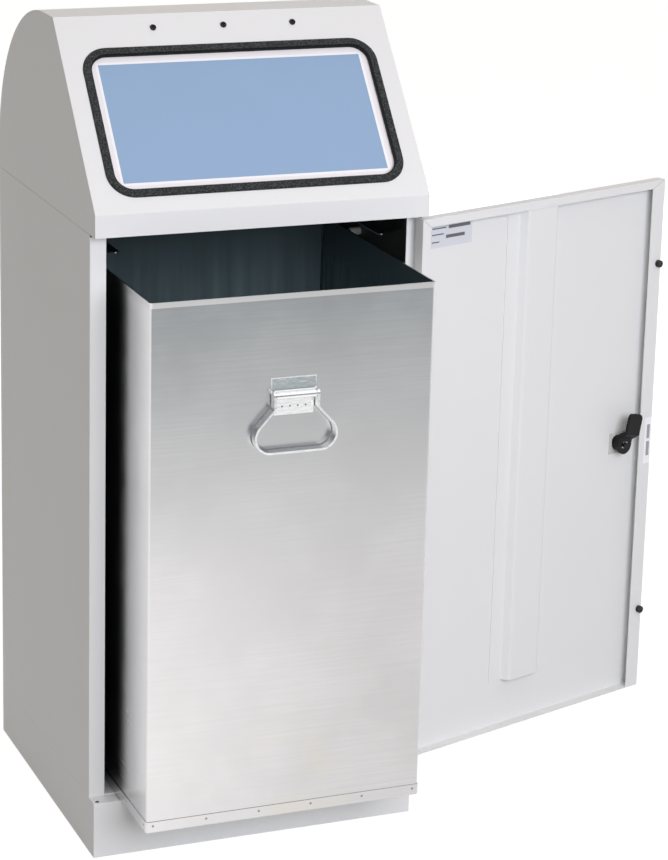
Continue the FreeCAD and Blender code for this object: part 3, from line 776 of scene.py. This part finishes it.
class CABINET_OT_door(bpy.types.Operator):
    """Coats the door and its stiffener, finishes the buffers, bushes and pins, and adds plain stickers"""

    bl_idname = "cabinet.door"
    bl_label = "Door"

    def execute(self, context):
        sizes = context.scene.cabinet_sizes
        for node in ("door_panel", "door_stiffener"):
            soften(node, sizes.cut, sizes.cut)
        soften("door_buffers", sizes.rubber_edge, sizes.rubber_edge)
        dress("door_bushes", "door_pivot_pins")
        place = door_place()
        low, high = reach("door_panel", place)
        skin = low.y + sizes.sheet
        paper, bars, edge, windows = (bmesh.new() for count in range(4))
        (left, foot), (right, top) = sizes.sticker_low, sizes.sticker_high
        add_slab(paper, (left, skin, foot), (right, skin + sizes.film, top))
        for start, end, under, over in BAR_SHARES:
            near = (right - end * (right - left), skin + sizes.film, foot + under * (top - foot))
            far = (right - start * (right - left), near[1] + sizes.ink, foot + over * (top - foot))
            add_slab(bars, near, far)
        (left, foot), (right, top) = sizes.edge_low, sizes.edge_high
        lip = high.y + sizes.film
        add_slab(edge, (left, high.y, foot), (right, lip, top))
        for start, end in WINDOW_SHARES:
            near = (left + sizes.window_inset, lip, foot + start * (top - foot))
            far = (near[0] + sizes.window_width, lip + sizes.ink, foot + end * (top - foot))
            add_slab(windows, near, far)
        for name, shape, finish, slot in (
            ("paper_sticker", paper, "sticker_paper", "nylon_white"),
            ("paper_bars", bars, "sticker_bars", "body_grey"),
            ("edge_sticker", edge, "label_border", "nylon_white"),
            ("edge_windows", windows, "sticker_window", "body_grey"),
        ):
            shape.transform(place)
            add_piece(name, shape, finish, "door")
        return {"FINISHED"}


class CABINET_OT_lock(bpy.types.Operator):
    """Finishes the lock, slants the crank of its cam and rounds its edges"""

    bl_idname = "cabinet.lock"
    bl_label = "Lock"

    def execute(self, context):
        sizes = context.scene.cabinet_sizes
        soften("lock_clip", sizes.small_edge, sizes.small_edge, finish="lock_clip")
        swing = JOINTS["cam_turn"]
        pivot, axis = Vector(swing["pos_m"]), Vector(swing["axis"])

        def slant_crank(shape):
            """Lets the cam's crank run at a slant from its eye to its blade."""
            way = sum((point.co - pivot for point in shape.verts), Vector())
            way = (way - axis * way.dot(axis)).normalized()
            for point in shape.verts:
                out = point.co - pivot
                if sizes.crank_root < out.dot(way) < sizes.crank_end:
                    low = out.dot(axis) < sizes.crank_middle
                    point.co += way * (-sizes.crank_low if low else sizes.crank_high)

        soften("lock_cam", sizes.small_edge, sizes.small_edge, form=slant_crank)
        for node in ("lock_housing", "cam_screw"):
            soften(node, sizes.small_edge, sizes.small_edge, finish="dark_screws")
        dress("lock_core")
        return {"FINISHED"}


class CABINET_OT_bin(bpy.types.Operator):
    """Galvanises the inner bin, rounds its rim and adds its spot welds"""

    bl_idname = "cabinet.bin"
    bl_label = "Inner bin"

    def execute(self, context):
        sizes = context.scene.cabinet_sizes
        low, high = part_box("bin_shell")
        middle = (low + high) / 2

        def lean_hem(shape):
            """Draws the hem's lower edge in, so that its face looks a little downwards."""
            foot = high.z - sizes.hem_height
            ring = [
                point
                for point in shape.verts
                if abs(point.co.z - foot) < sizes.cut
                and any(edge.other_vert(point).co.z - foot > sizes.cut for edge in point.link_edges)
            ]
            shares = [1 - sizes.hem_lean / (high[axis] - middle[axis]) for axis in range(2)]
            bmesh.ops.scale(shape, vec=(*shares, 1), space=Matrix.Translation(-middle), verts=ring)

        # Painted shade on the bin's inside faces.
        soften("bin_shell", sizes.rim, sizes.cut, middle, shaded=BROAD_FACE, form=lean_hem)
        soften("bin_base", sizes.rim, sizes.cut, middle, shaded=BROAD_FACE)
        low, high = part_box("bin_base")
        inset = Vector((sizes.weld_inset, sizes.weld_inset, 0))
        height = high.z - sizes.weld_drop
        shape = bmesh.new()
        for count in range(WELD_COUNT):
            spot = (low + inset).lerp(high - inset, count / (WELD_COUNT - 1))
            for x, y, out in (
                (spot.x, low.y, (0, -1, 0)),
                (spot.x, high.y, (0, 1, 0)),
                (low.x, spot.y, (-1, 0, 0)),
                (high.x, spot.y, (1, 0, 0)),
            ):
                add_mark(shape, facing((x, y, height), out), sizes.weld_radius, sizes.mark_height)
        bmesh.ops.recalc_face_normals(shape, faces=shape.faces)
        add_piece("bin_spot_welds", shape, "weld_mark", "bin")
        return {"FINISHED"}


def handle_loop(pivot, sizes):
    """Bmesh of the drop handle: a bent strap, a round eye at each end and the pins that it swings on."""
    shape = bmesh.new()
    half = [(-across, -down, run) for across, down, run in LOOP_BENDS]
    bends = half + [(-across, down, run) for across, down, run in reversed(half)]
    front = pivot.y - sizes.loop_width / 2
    points = [shape.verts.new((across, front, pivot.z + down)) for across, down, run in bends]
    lines = [shape.edges.new(ends) for ends in zip(points, points[1:])]
    swept = bmesh.ops.extrude_edge_only(shape, edges=lines)["geom"]
    backs = [item for item in swept if isinstance(item, bmesh.types.BMVert)]
    bmesh.ops.translate(shape, vec=(0, sizes.loop_width, 0), verts=backs)
    for point, (across, down, run) in list(zip(points, bends))[1:-1]:
        fold = next(edge for edge in point.link_edges if edge.other_vert(point) in backs)
        bmesh.ops.bevel(
            shape, geom=[fold], offset=run, affect="EDGES", segments=BEND_STEPS, profile=0.5, material=-1
        )
    bmesh.ops.recalc_face_normals(shape, faces=shape.faces)
    bmesh.ops.solidify(shape, geom=shape.faces[:], thickness=sizes.loop_thickness)
    bmesh.ops.recalc_face_normals(shape, faces=shape.faces)
    eye = LOOP_BENDS[0][0] - sizes.loop_thickness / 2
    sideways = Matrix.Rotation(math.pi / 2, 4, "Y")
    for side in (-1, 1):
        for radius, depth, centre in (
            (sizes.loop_width / 2, sizes.loop_thickness + sizes.cut * 2, eye),
            (sizes.pin_radius, sizes.pin_length, eye - sizes.pin_length / 2),
        ):
            bmesh.ops.create_cone(
                shape,
                cap_ends=True,
                segments=ROUND_STEPS,
                radius1=radius,
                radius2=radius,
                depth=depth,
                matrix=Matrix.Translation((side * centre, pivot.y, pivot.z)) @ sideways,
            )
    return shape


class CABINET_OT_handle(bpy.types.Operator):
    """Plates the drop handle and its saddle, rounds their edges and adds the saddle's pressed marks"""

    bl_idname = "cabinet.handle"
    bl_label = "Handle"

    def execute(self, context):
        sizes = context.scene.cabinet_sizes
        pivot = Vector(JOINTS["handle_swing"]["pos_m"])
        low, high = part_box("handle_plate")
        face = high.y - sizes.plate
        bead = pivot.y - low.y
        foot = pivot.z - bead - low.z

        def lean_plate(shape):
            """Lets the plate come off its bead at a slant and presses a field into its upper part."""
            for point in shape.verts:
                rise = point.co.z - pivot.z
                if abs(point.co.y - face) < sizes.cut and rise >= 0:
                    point.co.y += sizes.plate_lean_up * rise / (high.z - pivot.z)
                elif abs(point.co.y - face) < sizes.cut:
                    point.co.y -= sizes.plate_lean_down * (point.co.z - low.z) / foot
            shape.normal_update()
            fields = [
                part
                for part in shape.faces
                if part.normal.y < FRONT_NORMAL and part.calc_center_median().z > pivot.z + bead
            ]
            press = {"thickness": sizes.plate_rim, "depth": -sizes.plate_press}
            bmesh.ops.inset_region(shape, faces=fields, use_boundary=True, use_even_offset=True, **press)

        soften("handle_plate", sizes.plate_edge, sizes.plate_edge, form=lean_plate)
        out = Vector((0, -foot, -sizes.plate_lean_down))
        shape = bmesh.new()
        for count in range(STAMP_COUNT):
            across = (count / (STAMP_COUNT - 1) - 0.5) * sizes.stamp_span
            spot = Vector((across, face - sizes.plate_lean_down / 2, low.z + foot / 2))
            add_mark(shape, facing(spot, out), sizes.stamp_radius, sizes.mark_height)
        bmesh.ops.recalc_face_normals(shape, faces=shape.faces)
        add_piece("plate_marks", shape, "weld_mark", "bin")
        shape = handle_loop(pivot, sizes)
        loop = add_piece("handle_loop", shape, "plated_steel", "handle", sizes.loop_edge)
        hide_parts("handle_bail")
        return {"FINISHED"}


class CABINET_OT_stage(bpy.types.Operator):
    """Sets up the floor, the backdrop, the lamps and the camera"""

    bl_idname = "cabinet.stage"
    bl_label = "Stage"

    def execute(self, context):
        stage = context.scene.cabinet_stage
        add_floor(stage)
        light_world(stage)
        add_lamp("key", stage.key_power, stage.key_size, stage.key_height, stage.key_side, stage)
        add_lamp("flash", stage.flash_power, stage.flash_size, stage.elevation, -stage.azimuth, stage)
        add_lamp("back", stage.back_power, stage.key_size, stage.back_height, stage.back_side, stage)
        add_camera(stage)
        context.scene.view_settings.view_transform = "Standard"
        return {"FINISHED"}


def add_floor(stage):
    """Pale floor: white to the camera with a faint shadow, and in reflections lighter near the cabinet."""
    shape = bmesh.new()
    bmesh.ops.create_grid(shape, x_segments=1, y_segments=1, size=stage.floor_size / 2)
    mesh = bpy.data.meshes.new("floor")
    shape.to_mesh(mesh)
    shape.free()
    floor = bpy.data.objects.new("floor", mesh)
    bpy.context.scene.collection.objects.link(floor)
    made = bpy.data.materials.new("floor")
    made.use_nodes = True
    mesh.materials.append(made)
    finish = Finish(made.node_tree)
    camera = finish.node("LightPath", output="Is Camera Ray")
    ahead = 0.0 - finish.along("Y")
    side = finish.along("X") - SIDE_SLANT * ahead
    near = finish.mix(finish.step(side, *SIDE_FADE), stage.shine_left, stage.shine_right)
    near = finish.mix(finish.step(ahead, *NEAR_FADE), near, stage.shine_middle)
    front = finish.mix(finish.step(ahead, *FAR_FADE), near, stage.shine_far)
    mirrored = finish.mix(finish.step(ahead, *BACK_FADE), stage.shine_behind, front)
    lit = finish.node("BsdfDiffuse", {}, {"Color": stage.floor_tone})
    white = finish.node("Emission", {}, {"Color": WHITE, "Strength": stage.floor_white})
    seen = finish.node("MixShader", {}, {0: stage.floor_shadow, 1: white, 2: lit})
    shader = finish.node("MixShader", {}, {0: camera, 1: lit, 2: seen})
    shine = finish.node("Emission", {}, {"Color": mirrored, "Strength": stage.floor_shine})
    finish.end("Material", finish.node("MixShader", {}, {0: finish.mirrors(), 1: shader, 2: shine}))


def light_world(stage):
    """White backdrop for the camera, a dim front for reflections, and a soft light that grows upwards."""
    world = bpy.data.worlds.new("studio")
    bpy.context.scene.world = world
    world.use_nodes = True
    finish = Finish(world.node_tree)
    camera = finish.node("LightPath", output="Is Camera Ray")
    way = finish.node("TexCoord", output="Generated")
    behind = finish.node("SeparateXYZ", {}, {"Vector": way}, "Y")
    above = finish.node("SeparateXYZ", {}, {"Vector": way}, "Z")
    soft = finish.mix(finish.step(above, 0.0, 1.0), stage.sky_low, stage.sky_high)
    walls = finish.mix(finish.step(behind, *ROOM_FADE), stage.room_front, stage.room_back)
    mirrored = finish.mix(finish.step(above, *CEILING_FADE), walls, WHITE)
    ambient = finish.node("Background", {}, {"Color": soft, "Strength": stage.ambient})
    shine = finish.node("Background", {}, {"Color": mirrored, "Strength": stage.sky_shine})
    white = finish.node("Background", {}, {"Color": WHITE})
    shader = finish.node("MixShader", {}, {0: finish.mirrors(), 1: ambient, 2: shine})
    finish.end("World", finish.node("MixShader", {}, {0: camera, 1: shader, 2: white}))


def sight(height, side):
    """Direction from the cabinet to a height above the horizon and an angle to the right of its front."""
    flat = math.cos(height)
    return Vector((math.sin(side) * flat, -math.cos(side) * flat, math.sin(height)))


def add_lamp(name, power, size, height, side, stage):
    """Soft lamp that looks at the cabinet from a height and from an angle to the right of its front."""
    lamp = bpy.data.lights.new(name, "AREA")
    lamp.shape = "RECTANGLE"
    lamp.size = size
    lamp.size_y = size * LAMP_HEIGHT_SHARE
    lamp.energy = power
    lamp.color = stage.lamp_tint
    made = bpy.data.objects.new(name, lamp)
    made.visible_glossy = False
    bpy.context.scene.collection.objects.link(made)
    way = sight(height, side)
    made.location = Vector((0, 0, stage.aim_height)) + way * stage.key_distance
    made.rotation_mode = "QUATERNION"
    made.rotation_quaternion = (-way).to_track_quat("-Z", "Y")


def add_camera(stage):
    """Camera at the photograph's angle, with its roll and its small shift."""
    back = sight(stage.elevation, -stage.azimuth)
    level = Vector((math.cos(stage.azimuth), -math.sin(stage.azimuth), 0))
    rise = back.cross(level)
    right = level * math.cos(stage.roll) + rise * math.sin(stage.roll)
    up = rise * math.cos(stage.roll) - level * math.sin(stage.roll)
    lens = bpy.data.cameras.new("camera")
    lens.sensor_width = FILM
    lens.lens = stage.focal_pixels * FILM / PHOTO_HEIGHT
    lens.shift_x = (PHOTO_WIDTH / 2 - stage.centre_x) / PHOTO_HEIGHT
    lens.shift_y = (stage.centre_y - PHOTO_HEIGHT / 2) / PHOTO_HEIGHT
    camera = bpy.data.objects.new("camera", lens)
    bpy.context.scene.collection.objects.link(camera)
    spot = Vector((0, 0, stage.aim_height)) + right * stage.slide_right + up * stage.slide_up
    spot += back * stage.distance
    camera.matrix_world = Matrix.Translation(spot) @ Matrix((right, up, back)).transposed().to_4x4()
    bpy.context.scene.camera = camera


class VIEW3D_PT_cabinet(bpy.types.Panel):
    """Lists the steps that dress the cabinet"""

    bl_idname = "VIEW3D_PT_cabinet"
    bl_label = "Cabinet"
    bl_space_type = "VIEW_3D"
    bl_region_type = "UI"
    bl_category = "Cabinet"

    def draw(self, context):
        for operator in OPERATORS:
            self.layout.operator(operator.bl_idname)


GROUPS = {
    "cabinet_colours": CabinetColours,
    "cabinet_sizes": CabinetSizes,
    "cabinet_stage": CabinetStage,
}
OPERATORS = (
    CABINET_OT_body,
    CABINET_OT_hood,
    CABINET_OT_opening_trim,
    CABINET_OT_flap,
    CABINET_OT_door,
    CABINET_OT_lock,
    CABINET_OT_bin,
    CABINET_OT_handle,
    CABINET_OT_stage,
)


def register():
    for kind in (*GROUPS.values(), *OPERATORS, VIEW3D_PT_cabinet):
        bpy.utils.register_class(kind)
    for name, group in GROUPS.items():
        setattr(bpy.types.Scene, name, PointerProperty(type=group))


def unregister():
    for name in GROUPS:
        delattr(bpy.types.Scene, name)
    for kind in (VIEW3D_PT_cabinet, *reversed(OPERATORS), *reversed(GROUPS.values())):
        bpy.utils.unregister_class(kind)


def main():
    register()
    bpy.ops.cabinet.body()
    bpy.ops.cabinet.hood()
    bpy.ops.cabinet.opening_trim()
    bpy.ops.cabinet.flap()
    bpy.ops.cabinet.door()
    bpy.ops.cabinet.lock()
    bpy.ops.cabinet.bin()
    bpy.ops.cabinet.handle()
    bpy.ops.cabinet.stage()


if __name__ == "__main__":
    main()
